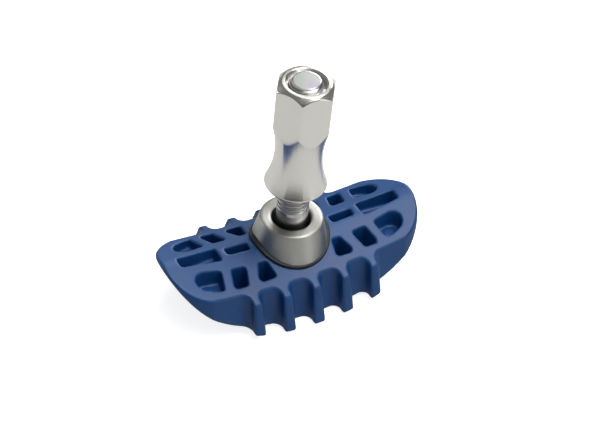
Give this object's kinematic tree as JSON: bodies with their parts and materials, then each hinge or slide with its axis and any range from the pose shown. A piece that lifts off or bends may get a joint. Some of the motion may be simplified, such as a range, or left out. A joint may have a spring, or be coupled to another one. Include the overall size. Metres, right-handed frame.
{
  "type": "wheel rim lock",
  "caption": "Ribbed saddle-shaped plastic shoe on a threaded stud, with a rubber seal, a turned saddle washer and a tall waisted nut that clamp it through a wheel rim.",
  "frame": {"origin": "where the stud's axis leaves the ridge of the shoe", "axes": "+Z along the stud towards the nut (to the wheel's axle when fitted), X along the shoe (round the rim), Y across the rim"},
  "size_m": [0.0702, 0.0368, 0.0628],
  "materials": {
    "nylon": "satin moulded blue glass-filled nylon",
    "stud_steel": "bright zinc plate over rolled steel",
    "rubber": "matte black rubber",
    "washer_metal": "bright turned",
    "nut_aluminium": "satin clear-anodised, turned"
  },
  "bodies": {
    "shoe": {"shoe": "nylon", "stud": "stud_steel"},
    "seal": {"seal": "rubber"},
    "washer": {"washer": "washer_metal"},
    "nut": {"nut": "nut_aluminium"}
  },
  "joints": [
    {"name": "seal_slide", "type": "slide", "parent": "shoe", "child": "seal", "axis": [0, 0, 1], "range_m": [0, 0.0525]},
    {"name": "washer_slide", "type": "slide", "parent": "seal", "child": "washer", "axis": [0, 0, 1], "range_m": [0, 0.0125]},
    {"name": "nut_slide", "type": "slide", "parent": "washer", "child": "nut", "axis": [0, 0, 1], "range_m": [-0.01, 0.0375]}
  ]
}
